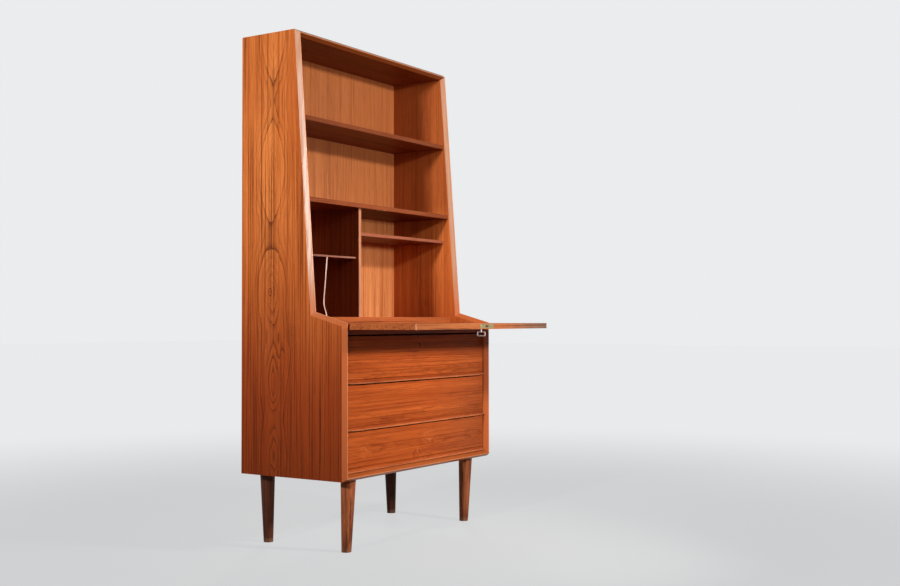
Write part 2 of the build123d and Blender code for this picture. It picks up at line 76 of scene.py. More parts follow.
class Lipping(Enum):
    """Where a board carries a bevelled lipping of solid wood."""

    NONE = "none"
    SIDE = "side"
    TOP = "top"
    BOTTOM = "bottom"


@dataclass(frozen=True)
class Outline:
    """The ridge line of the case's sides, in metres, in the shared frame."""

    ridge_y: float = -0.092583
    shoulder_depth: float = 0.128
    shoulder_front_z: float = 0.734
    shoulder_back_z: float = 0.7695
    lean: float = 0.073873
    bevel: float = 0.0152


OUTLINE = Outline()


class Socket:
    """An output in a node tree. Python's operators on it add Math nodes."""

    def __init__(self, tree: "Tree", socket: bpy.types.NodeSocket) -> None:
        """Wraps a node's output socket."""
        self.tree = tree
        self.socket = socket

    def maths(self, operation: str, *others: "Value") -> "Socket":
        """Adds a Math node.

        Args:
            operation: The Math node's operation.
            others: Its second and third values.

        Returns:
            The node's value.
        """
        inputs = dict(enumerate((self, *others)))
        return self.tree.node("ShaderNodeMath", {"operation": operation}, inputs)

    def clamped(self) -> "Socket":
        """The value held between 0 and 1."""
        settings = {"operation": "ADD", "use_clamp": True}
        return self.tree.node("ShaderNodeMath", settings, {0: self, 1: 0.0})

    def at_least(self, other: "Value") -> "Socket":
        """The larger of two values."""
        return self.maths("MAXIMUM", other)

    def at_most(self, other: "Value") -> "Socket":
        """The smaller of two values."""
        return self.maths("MINIMUM", other)

    def ease(self, low: float, high: float) -> "Socket":
        """Adds a soft step.

        Args:
            low: The value up to which the step is 0.
            high: The value from which it is 1.

        Returns:
            The step.
        """
        settings = {"interpolation_type": "SMOOTHSTEP"}
        inputs = {"Value": self, "From Min": low, "From Max": high}
        return self.tree.node("ShaderNodeMapRange", settings, inputs)

    def __add__(self, other: "Value") -> "Socket":
        """self + other."""
        return self.maths("ADD", other)

    def __radd__(self, other: float) -> "Socket":
        """other + self."""
        return self.maths("ADD", other)

    def __sub__(self, other: "Value") -> "Socket":
        """self - other."""
        return self.maths("SUBTRACT", other)

    def __rsub__(self, other: float) -> "Socket":
        """other - self."""
        return self.tree.node("ShaderNodeMath", {"operation": "SUBTRACT"}, {0: other, 1: self})

    def __mul__(self, other: "Value") -> "Socket":
        """self * other."""
        return self.maths("MULTIPLY", other)

    def __rmul__(self, other: float) -> "Socket":
        """other * self."""
        return self.maths("MULTIPLY", other)

    def __pow__(self, other: float) -> "Socket":
        """self to a power."""
        return self.maths("POWER", other)


Value = Union[Socket, float, Sequence[float]]
Settings = Dict[str, object]
Inputs = Dict[Union[str, int], Value]


class Tree:
    """A node tree and the one method that adds nodes to it."""

    def __init__(self, tree: bpy.types.NodeTree) -> None:
        """Starts with an empty tree."""
        self.tree = tree
        self.tree.nodes.clear()

    def add(
        self, kind: str, settings: Settings | None = None, inputs: Inputs | None = None
    ) -> bpy.types.Node:
        """Adds a node.

        Args:
            kind: The node's type.
            settings: Its properties, and "stops" for a ramp, set before its inputs.
            inputs: Values or links of its sockets, by name, identifier or number.

        Returns:
            The node.
        """
        node = self.tree.nodes.new(kind)
        for key, setting in (settings or {}).items():
            if key == "stops":
                self._set_stops(node.color_ramp, setting)
            else:
                setattr(node, key, setting)
        for key, value in (inputs or {}).items():
            self.feed(self._find(node.inputs, key), value)
        return node

    def pick(self, node: bpy.types.Node, key: Union[str, int] = 0) -> Socket:
        """One of a node's outputs."""
        return Socket(self, self._find(node.outputs, key))

    def node(self, kind: str, settings: Settings, inputs: Inputs, output: Union[str, int] = 0) -> Socket:
        """One output of a node that is added for it."""
        return self.pick(self.add(kind, settings, inputs), output)

    @staticmethod
    def _set_stops(ramp: bpy.types.ColorRamp, stops: Stops) -> None:
        """Gives a ramp its grey stops, eased from one to the next.

        Args:
            ramp: The ramp, which has two stops at first.
            stops: Each stop's position and grey level.
        """
        ramp.interpolation = "EASE"
        while len(ramp.elements) < len(stops):
            ramp.elements.new(1.0)
        for element, (position, level) in zip(ramp.elements, stops):
            element.position = position
            element.color = (level, level, level, 1.0)

    @staticmethod
    def _find(sockets: bpy.types.bpy_prop_collection, key: Union[str, int]) -> bpy.types.NodeSocket:
        """Finds a socket.

        Args:
            sockets: A node's inputs or outputs.
            key: The socket's number, identifier or name.

        Returns:
            The socket.
        """
        if isinstance(key, int):
            return sockets[key]
        matches = [socket for socket in sockets if socket.identifier == key]
        return matches[0] if matches else sockets[key]

    def feed(self, socket: bpy.types.NodeSocket, value: Value) -> None:
        """Links or sets one input.

        Args:
            socket: The input.
            value: An output to link, or a number, vector or colour to set.
        """
        if isinstance(value, Socket):
            self.tree.links.new(value.socket, socket)
        elif isinstance(value, (tuple, list)) and len(value) == 3 and socket.type == "RGBA":
            socket.default_value = (*value, 1.0)
        else:
            socket.default_value = value

    def seen(self) -> Socket:
        """Tells what is seen from light that falls on things.

        Returns:
            1 for camera rays, also mirrored or through glass, and 0 for all others.
        """
        path = self.add("ShaderNodeLightPath")
        seen = self.pick(path, "Is Camera Ray").at_least(self.pick(path, "Is Glossy Ray"))
        return seen.at_least(self.pick(path, "Is Transmission Ray"))


class Shader(Tree):
    """A material with a Principled surface."""

    def __init__(self, name: str) -> None:
        """Starts an empty material with a Principled shader.

        Args:
            name: The material's name.
        """
        self.material = bpy.data.materials.new(name)
        self.material.use_nodes = True
        super().__init__(self.material.node_tree)
        self.surface = self.add("ShaderNodeBsdfPrincipled")
        self.output = self.add("ShaderNodeOutputMaterial")
        self.show(self.pick(self.surface))

    def show(self, surface: Socket) -> None:
        """Makes a shader the material's surface."""
        self.feed(self.output.inputs["Surface"], surface)

    def set(self, **inputs: Value) -> None:
        """Feeds the Principled shader's inputs, named with underscores for spaces."""
        for key, value in inputs.items():
            self.feed(self.surface.inputs[key.replace("_", " ")], value)

    def mix(self, factor: Value, start: Value, end: Value) -> Socket:
        """A colour between two colours."""
        inputs = {"Factor_Float": factor, "A_Color": start, "B_Color": end}
        return self.node("ShaderNodeMix", {"data_type": "RGBA"}, inputs, "Result_Color")

    def vector(self, operation: str, first: Socket, second: Point = ORIGIN, output: str = "Vector") -> Socket:
        """Vector maths on a vector and a constant one."""
        return self.node("ShaderNodeVectorMath", {"operation": operation}, {0: first, 1: second}, output)

    def length(self, vector: Socket) -> Socket:
        """The length of a vector."""
        return self.vector("LENGTH", vector, output="Value")

    def noise(self, vector: Socket, scale: Point, detail: float = 2.0, output: str = "Fac") -> Socket:
        """Adds noise that is stretched along a board.

        Args:
            vector: Metres along, across and through the board.
            scale: The noise's features per metre along each of these.
            detail: How many finer layers it has.
            output: "Fac" for one value or "Color" for three.

        Returns:
            The noise.
        """
        stretched = self.vector("MULTIPLY", vector, scale)
        inputs = {"Vector": stretched, "Scale": 1.0, "Detail": detail, "Roughness": 0.55}
        return self.node("ShaderNodeTexNoise", {}, inputs, output)

    def parts(self, vector: Socket) -> Tuple[Socket, Socket, Socket]:
        """Parts a vector.

        Args:
            vector: The vector or colour.

        Returns:
            Its three components.
        """
        node = self.add("ShaderNodeSeparateXYZ", {}, {0: vector})
        return self.pick(node, 0), self.pick(node, 1), self.pick(node, 2)

    def here(self) -> Socket:
        """Object coordinates, which are those of the shared frame."""
        return self.node("ShaderNodeTexCoord", {}, {}, "Object")

    def place(self, grain: Grain, centre: Point) -> Socket:
        """Object coordinates turned to run along, across and through a board.

        Args:
            grain: The board's axes.
            centre: The point of the shared frame that becomes zero.

        Returns:
            The turned coordinates, in metres.
        """
        turn = Matrix(grain.value)
        inputs = {
            "Vector": self.here(),
            "Location": tuple(-(turn @ Vector(centre))),
            "Rotation": tuple(turn.to_euler("XYZ")),
        }
        return self.node("ShaderNodeMapping", {"vector_type": "POINT"}, inputs)

    def bump(self, height: Socket, distance: float, strength: float) -> None:
        """Feeds a bump of that height to the surface's normal."""
        inputs = {"Height": height, "Distance": distance, "Strength": strength}
        self.set(Normal=self.node("ShaderNodeBump", {}, inputs))


@dataclass(frozen=True)
class Tone:
    """Another colour on the far side of one or more planes, such as a face, an edge or a foot."""

    colour: Colour
    amount: float
    planes: Tuple[Plane, ...]

    def mask(self, shader: Shader, here: Socket) -> Socket:
        """Where the tone lies.

        Args:
            shader: The material that is built.
            here: Object coordinates.

        Returns:
            A mask from 0 to the tone's amount.
        """
        mask: Value = self.amount
        for normal, place, soft in self.planes:
            reach = shader.vector("DOT_PRODUCT", here, normal, "Value")
            mask = reach.ease(place - soft, place + soft) * mask
        return mask


@dataclass(frozen=True)
class Knot:
    """A small round place in the figure: where it is in the shared frame, and its radius, in metres."""

    place: Point
    radius: float


@dataclass(frozen=True)
class Wood:
    """A wood finish: growth rings cut by the board, fibres, pores, tone patches and a satin oil."""

    name: str
    grain: Grain
    centre: Point
    light: Colour
    deep: Colour
    line: Colour
    seed: float = 0.0
    # The rings' heart: its depth under the board along the length, and how far across it is felt
    heart: Stops = ((0.0, 0.8), (1.0, 0.8))
    heart_depth: float = 0.1
    heart_span: float = 1.0
    heart_reach: float = 0.06
    foot_reach: float = 0.06
    foot_strength: float = 1.0
    # Rings per metre, and how they wander
    rings: float = 115.0
    sway: float = 0.014
    jag: float = 0.016
    waver: float = 0.7
    line_strength: float = 0.9
    sharpness: float = 2.5
    # Grain between the rings
    band: float = 1.0
    streaks: float = 0.6
    streak_size: Point = (2.2, 130.0, 130.0)
    fibre: float = 0.5
    pores: float = 0.4
    patch: float = 0.35
    patch_size: Point = (1.6, 4.0, 4.0)
    # Places with a colour or figure of their own, and tones of painted shade and painted light
    tones: Tuple[Tone, ...] = ()
    marks: Tuple[Knot, ...] = ()
    knots: Tuple[Knot, ...] = ()
    knot_depth: float = 0.4
    flames: Tuple[Knot, ...] = ()
    # Oil and lipping; the lipping's upper colour is painted: highlight on the sides, shade on the top panel
    roughness: float = 0.42
    specular: float = 0.14
    lipping: Lipping = Lipping.NONE
    lip_colour: Colour = (0.4, 0.095, 0.024)
    lip_painted_upper: Colour = (0.4, 0.25, 0.155)
    lip_sheen: float = 1.0

    # Noise features per metre along, across and through the board
    BAND_SCALE = (0.9, 38.0, 38.0)
    FIBRE_SCALE = (14.0, 560.0, 560.0)
    PORE_SCALE = (110.0, 2300.0, 2300.0)
    WANDER_SCALE = (1.2, 2.5, 2.5)
    RAGGED_SCALE = (6.0, 36.0, 36.0)
    WAVER_SCALE = (20.0, 150.0, 150.0)
    BREAK_SCALE = (3.2, 60.0, 60.0)
    CURL_SCALE = (15.0, 34.0, 34.0)
    # Rings: a count that stays above zero, rings pushed aside by a knot, finer lines in each ring
    FIRST_RING = 40.0
    KNOT_RINGS = 5.0
    FINE_LINES = 3.37
    # Lines of the heart itself thin out this fast, per metre
    NEEDLE_FALL = -120.0
    FLAME_DEPTH = 0.03
    FLAME_COUNT = 20.0
    # A knot is longer along the grain, goes right through the board, and fades out over some radii
    KNOT_SHAPE = (0.6, 1.0, 0.0)
    KNOT_FADE = 2.2
    CURL_COLOUR = (0.85, 0.36, 0.14)
    GRAIN_DEPTH = 0.25 * MILLIMETRE
    GRAIN_STRENGTH = 0.6
    LIP_COAT_ROUGHNESS = 0.17
    LIP_COAT_IOR = 1.7
    LIP_BLUR = 0.6 * MILLIMETRE
    # A painted highlight along the lipping's ridge
    RIDGE_PAINTED_HIGHLIGHT = (0.78, 0.33, 0.16)
    RIDGE_EDGE = (0.5 * MILLIMETRE, 1.4 * MILLIMETRE)
    # Between these heights the lipping turns from its low colour to its painted upper one
    LIP_PAINT_HEIGHTS = (0.7, 0.95)

    def material(self) -> bpy.types.Material:
        """Builds the finish.

        Returns:
            The material.
        """
        shader = Shader(self.name)
        here = shader.here()
        spot = shader.place(self.grain, self.centre)
        sheet = shader.vector("ADD", spot, (self.seed, self.seed, self.seed))
        tone, line = self._rings(shader, spot, sheet)
        band = shader.noise(sheet, self.BAND_SCALE, 4.0)
        streak = shader.noise(sheet, self.streak_size, 4.0)
        fibre = shader.noise(sheet, self.FIBRE_SCALE, 3.0)
        pore = shader.noise(sheet, self.PORE_SCALE, 1.0).ease(0.6, 0.78)
        patch = shader.noise(sheet, self.patch_size).ease(0.42, 0.72)

        blend = 0.5 + (band - 0.5) * (2.4 * self.band) + (streak - 0.5) * 1.2 + (tone - 0.5) * 0.3
        colour = shader.mix(blend.clamped(), self.light, self.deep)
        colour = shader.mix(patch * self.patch, colour, self.deep)
        for other in self.tones:
            colour = shader.mix(other.mask(shader, here), colour, other.colour)
        grainy = streak.ease(0.5, 0.68) * self.streaks + fibre.ease(0.45, 0.8) * self.fibre
        colour = shader.mix(grainy.clamped(), colour, self.line)
        colour = shader.mix(line * self.line_strength, colour, self.line)
        colour = shader.mix(pore * self.pores, colour, self.line)
        if self.marks:
            colour = self._curled(shader, sheet, colour)
        rough = self.roughness + line * 0.1 + (fibre - 0.5) * 0.16 + pore * 0.12
        if self.lipping is not Lipping.NONE:
            colour, rough = self._lipped(shader, colour, rough, streak)
        shader.set(Base_Color=colour, Roughness=rough.clamped(), Specular_IOR_Level=self.specular)
        shader.bump(fibre * 0.5 - pore * 0.6 - line * 0.25, self.GRAIN_DEPTH, self.GRAIN_STRENGTH)
        return shader.material

    def _rings(self, shader: Shader, spot: Socket, sheet: Socket) -> Tuple[Socket, Socket]:
        """Growth rings as the board cuts them: pointed arches near the heart, straight lines far off.

        Args:
            shader: The material that is built.
            spot: Metres along, across and through the board.
            sheet: The same, moved to this sheet's own part of the noise.

        Returns:
            Each ring's own tone, and the dark line where it starts.
        """
        along, across, through = shader.parts(spot)
        drift, lean, _ = shader.parts(shader.noise(sheet, self.WANDER_SCALE, output="Color"))
        step, dip, _ = shader.parts(shader.noise(sheet, self.RAGGED_SCALE, 3.0, "Color"))
        waver = shader.noise(sheet, self.WAVER_SCALE)
        share = (along * (1.0 / self.heart_span) + 0.5).clamped()
        level = shader.node("ShaderNodeValToRGB", {"stops": self.heart}, {"Fac": share})
        # Metres from the heart's line across the board, drawn in where a flame burns
        off = (across + (drift - 0.5) * (2.0 * self.sway)).maths("ABSOLUTE")
        flame: Value = 0.0
        for place in self.flames:
            flame = (self._knot(shader, place) + flame).clamped()
        if self.flames:
            off = off * (1.0 - flame * 0.8)
        # How much of the heart's depth is felt here, with a reach of its own towards the foot
        foot, head = -1.0 / self.foot_reach, -1.0 / self.heart_reach
        near = (off * (share.ease(0.42, 0.6) * (head - foot) + foot)).maths("EXPONENT")
        # How deep the heart lies: its course along the board, ragged, and zigzag in a flame
        peak = (dip - 0.5).maths("ABSOLUTE")
        heart = level * self.heart_depth + (lean - 0.5) * self.sway + (peak - 0.1) * (3.0 * self.jag)
        heart = heart + through * 0.6 + (step - 0.5) * self.jag
        if self.flames:
            zigzag = (across * self.FLAME_COUNT + (step - 0.5) * 0.5).maths("PINGPONG", 0.5) - 0.25
            heart = heart + zigzag * flame * self.FLAME_DEPTH
        # The ring that is cut here, and how far into it
        radius = off + heart * near
        ring = radius * self.rings + (waver - 0.5) * self.waver + self.FIRST_RING
        for knot in self.knots:
            ring = ring + self._knot(shader, knot) * self.KNOT_RINGS
        count = ring.maths("FLOOR")
        since = ring - count
        tone = shader.node("ShaderNodeTexWhiteNoise", {"noise_dimensions": "1D"}, {"W": count + self.seed})
        # Dark lines, strong near the heart and broken along the grain, and fine ones between them
        broken = shader.noise(sheet, self.BREAK_SCALE).ease(0.32, 0.68)
        strong = (tone ** 2.0 * 0.95 + 0.15) * (broken * 0.5 + 0.5) * (near * 1.3 + 0.1 + flame)
        if self.foot_strength != 1.0:
            strong = strong * (share.ease(0.3, 0.6) * (1.0 - self.foot_strength) + self.foot_strength)
        needle = (off * self.NEEDLE_FALL).maths("EXPONENT") * level.ease(0.45, 0.95) * broken
        line = (1.0 - since) ** self.sharpness * strong + needle * 0.8
        for knot in self.knots:
            line = line + self._knot(shader, knot).ease(0.35, 1.0) * self.knot_depth
        fine = (ring * self.FINE_LINES).maths("FRACT")
        return tone, (line + (1.0 - fine) ** 3.0 * 0.14).clamped()

    def _knot(self, shader: Shader, knot: Knot) -> Socket:
        """How near a point is to a knot.

        Args:
            shader: The material that is built.
            knot: The knot.

        Returns:
            A mask from 0 to 1 at the knot's middle.
        """
        spot = shader.place(self.grain, knot.place)
        away = shader.length(shader.vector("MULTIPLY", spot, self.KNOT_SHAPE))
        return 1.0 - away.ease(0.0, self.KNOT_FADE * knot.radius)

    def _curled(self, shader: Shader, sheet: Socket, colour: Socket) -> Socket:
        """Lays thin pale curls in the figure, near the marks.

        Args:
            shader: The material that is built.
            sheet: Metres in this sheet's own part of the noise.
            colour: The colour so far.

        Returns:
            The colour with the curls.
        """
        ridge = (shader.noise(sheet, self.CURL_SCALE, 1.0) - 0.5).maths("ABSOLUTE")
        where: Value = 0.0
        for mark in self.marks:
            where = self._knot(shader, mark) + where
        curl = (1.0 - ridge.ease(0.004, 0.022)) * where.clamped() * 0.3
        return shader.mix(curl, colour, self.CURL_COLOUR)

    def _inside(self, y: Socket, z: Socket) -> Socket:
        """How far a point lies inside the case's ridge line.

        Args:
            y: The shared frame's depth.
            z: The shared frame's height.

        Returns:
            Metres from the ridge, measured on the part of the outline that carries the lipping.
        """
        lean_y = OUTLINE.ridge_y + OUTLINE.shoulder_depth - OUTLINE.lean * OUTLINE.shoulder_back_z
        upper = (y - lean_y) - z * OUTLINE.lean
        lower = y - OUTLINE.ridge_y
        if self.lipping is Lipping.TOP:
            return upper
        if self.lipping is Lipping.BOTTOM:
            return lower
        climb = (OUTLINE.shoulder_back_z - OUTLINE.shoulder_front_z) / OUTLINE.shoulder_depth
        shoulder = (lower * climb + OUTLINE.shoulder_front_z) - z
        return lower.at_most(shoulder.at_least(upper))

    def _lipped(
        self, shader: Shader, colour: Socket, rough: Socket, streak: Socket
    ) -> Tuple[Socket, Socket]:
        """Lays a solid, polished lipping along the bevelled front edge, with a painted highlight on its ridge
        and, high up, a painted highlight in its middle on the sides and painted shade on the top panel.

        Args:
            shader: The material that is built.
            colour: The board's colour.
            rough: The board's roughness.
            streak: The board's streaks, which dull the polish.

        Returns:
            The colour and the roughness with the lipping.
        """
        _, y, z = shader.parts(shader.here())
        inside = self._inside(y, z)
        mask = 1.0 - inside.ease(OUTLINE.bevel - self.LIP_BLUR, OUTLINE.bevel + self.LIP_BLUR)
        core = (1.0 - (inside * (1.0 / OUTLINE.bevel) - 0.5).maths("ABSOLUTE") * 2.0).ease(0.1, 0.7)
        high = z.ease(*self.LIP_PAINT_HEIGHTS)
        # high up the lipping takes a painted colour: highlight in its middle on the sides, shade on the top
        # panel
        painted_lip = shader.mix(high * (core * 0.35 + 0.65), self.lip_colour, self.lip_painted_upper)
        lip = shader.mix((streak - 0.35).clamped(), painted_lip, self.deep)
        # painted highlight along the ridge
        ridge = 1.0 - inside.ease(*self.RIDGE_EDGE)
        lip = shader.mix(ridge * 0.7, lip, self.RIDGE_PAINTED_HIGHLIGHT)
        clean = 1.0 - streak.ease(0.4, 0.66) * 0.75
        polish = mask * clean * (core * 0.3 + 0.7) * (high * 0.75 + 0.25) * self.lip_sheen
        shader.set(Coat_Weight=polish, Coat_Roughness=self.LIP_COAT_ROUGHNESS, Coat_IOR=self.LIP_COAT_IOR)
        return shader.mix(mask * 0.8, colour, lip), rough - mask * 0.1


@dataclass(frozen=True)
class Metal:
    """A metal finish with cloudy tarnish and fine scratches."""

    name: str
    bright: Colour
    dull: Colour
    roughness: float
    tarnish: float

    CLOUD_SCALE = (140.0, 140.0, 140.0)
    SCRATCH_SCALE = (300.0, 2600.0, 2600.0)
    SCRATCH_DEPTH = 0.05 * MILLIMETRE
    SCRATCH_STRENGTH = 0.5

    def material(self) -> bpy.types.Material:
        """Builds the finish.

        Returns:
            The material.
        """
        shader = Shader(self.name)
        spot = shader.place(Grain.LEVEL_FLAT, ORIGIN)
        cloud = shader.noise(spot, self.CLOUD_SCALE, 4.0).ease(0.4, 0.7)
        scratch = shader.noise(spot, self.SCRATCH_SCALE)
        colour = shader.mix(cloud * self.tarnish, self.bright, self.dull)
        rough = self.roughness + cloud * (0.25 * self.tarnish) + (scratch - 0.5) * 0.2
        shader.set(Base_Color=colour, Metallic=1.0, Roughness=rough.clamped())
        shader.bump(scratch, self.SCRATCH_DEPTH, self.SCRATCH_STRENGTH)
        return shader.material


NICKEL = Metal("key_nickel", (1.0, 0.97, 0.93), (0.7, 0.66, 0.6), 0.3, 0.15)
STEEL = Metal("plain_steel", (0.46, 0.45, 0.43), (0.22, 0.18, 0.14), 0.42, 0.6)
BRASS = Metal("aged_brass", (0.5, 0.37, 0.16), (0.13, 0.1, 0.05), 0.3, 0.85)
BOLT_BRASS = Metal("bolt_brass", (0.14, 0.1, 0.05), (0.04, 0.03, 0.02), 0.35, 0.8)
SCREW_BRASS = Metal("screw_brass", (0.62, 0.45, 0.2), (0.22, 0.16, 0.08), 0.32, 0.8)

# Heart lines of figured sheets: share of the length, and how deep the rings' heart lies there
SIDE_FIGURE: Stops = (
    (0.0, 0.4),
    (0.045, 0.08),
    (0.13, 0.58),
    (0.2, 0.05),
    (0.315, 0.62),
    (0.41, 0.08),
    (0.535, 0.95),
    (0.685, 0.03),
    (0.84, 1.0),
    (1.0, 0.2),
)
DRAWER_FIGURE: Stops = (
    (0.0, 0.6),
    (0.17, 0.1),
    (0.38, 0.75),
    (0.58, 0.06),
    (0.8, 0.5),
    (0.92, 0.12),
    (1.0, 0.4),
)
PLAIN_FIGURE: Stops = ((0.0, 0.7), (0.3, 1.0), (0.7, 0.8), (1.0, 1.0))

# Flames, knots and pale curls in the figure
SIDE_HEART_Y = 0.2074
SIDE_FLAMES = (
    Knot((-0.44, 0.185, 0.65), 0.042),
    Knot((-0.44, SIDE_HEART_Y, 1.265), 0.02),
    Knot((-0.44, SIDE_HEART_Y, 0.83), 0.012),
)
SIDE_KNOTS = (
    Knot((-0.44, 0.2174, 0.835), 0.012),
    Knot((-0.44, 0.125, 0.705), 0.016),
)
BACK_KNOTS = (
    Knot((-0.063, 0.3364, 1.604), 0.007),
    Knot((0.052, 0.3364, 1.609), 0.006),
    Knot((0.047, 0.3364, 1.512), 0.01),
)
LOWER_MARKS = (
    Knot((-0.314, -0.0726, 0.322), 0.014),
    Knot((0.054, -0.0726, 0.339), 0.016),
    Knot((-0.017, -0.0726, 0.29), 0.012),
    Knot((0.054, -0.0726, 0.27), 0.014),
)

# Planes that bound the tones
NEAR_FOOT: Plane = (DOWN, -0.8, 0.36)
ABOVE_DESK: Plane = (UP, 0.9, 0.3)
SHELF_BAYS: Plane = (UP, 1.15, 0.05)
TOP_BAY: Plane = (UP, 1.41, 0.05)
BEHIND_FLAP: Plane = (REAR, 0.15, 0.05)
BEFORE_DRAWERS: Plane = (FRONT, 0.0722, 0.4 * MILLIMETRE)
BEHIND_FACES: Plane = (REAR, -0.0722, 0.3 * MILLIMETRE)
COVED_LIP: Plane = (FRONT, 0.0762, 1.4 * MILLIMETRE)
SHADED_END: Plane = ((1.0, 0.0, -0.6), 0.0, 0.3)
FAR_END: Plane = (RIGHT, 0.25, 0.2)
LEG_TIP: Plane = (DOWN, -0.012, 0.008)
LETTER_EDGE: Tuple[Plane, ...] = (
    ((0.0, -1.0, -0.09554), -0.21214, 0.3 * MILLIMETRE),
    ((0.0, -1.0, 0.33333), 0.13053, 0.3 * MILLIMETRE),
)
# Where the keyhole's painted shade lies
KEYHOLE_SHADE_PLANES: Tuple[Plane, ...] = (
    (RIGHT, -0.0022, 0.8 * MILLIMETRE),
    (LEFT, -0.0022, 0.8 * MILLIMETRE),
    (UP, 0.6505, MILLIMETRE),
    (DOWN, -0.6655, MILLIMETRE),
)

LEVEL_BOARDS = ("deck", "desk_floor", "middle_shelf", "upper_shelf", "small_shelf", "letter_shelf", "flap")
BEECH_BOARDS = ("drawer_runners", "front_bearer", "rear_bearer")
STEEL_NODES = ("leg_studs", "lock_case", "drawer_lock")


@dataclass(frozen=True)
class Board:
    """A CAD node's box, from which its finish takes places and sizes."""

    node: str
    low: Vector
    high: Vector

    SEEDS = 97
    SEED_STEP = 0.37

    @property
    def middle(self) -> Point:
        """The middle of the box."""
        return tuple((self.low + self.high) / 2)

    @property
    def span(self) -> Vector:
        """The size of the box."""
        return self.high - self.low

    @property
    def seed(self) -> float:
        """This board's own part of the noise, told by its name."""
        letters = sum(ord(letter) * (place + 1) for place, letter in enumerate(self.node))
        return (letters % self.SEEDS) * self.SEED_STEP

    def face(self, normal: Point) -> Plane:
        """The plane just under the flat face that looks along an axis."""
        reach = max(Vector(normal).dot(corner) for corner in (self.low, self.high))
        return normal, reach - 2 * SKIN, SKIN

    def on_face(self, normal: Point, colour: Colour, amount: float) -> Tone:
        """A tone on the flat face that looks along an axis."""
        return Tone(colour, amount, (self.face(normal),))


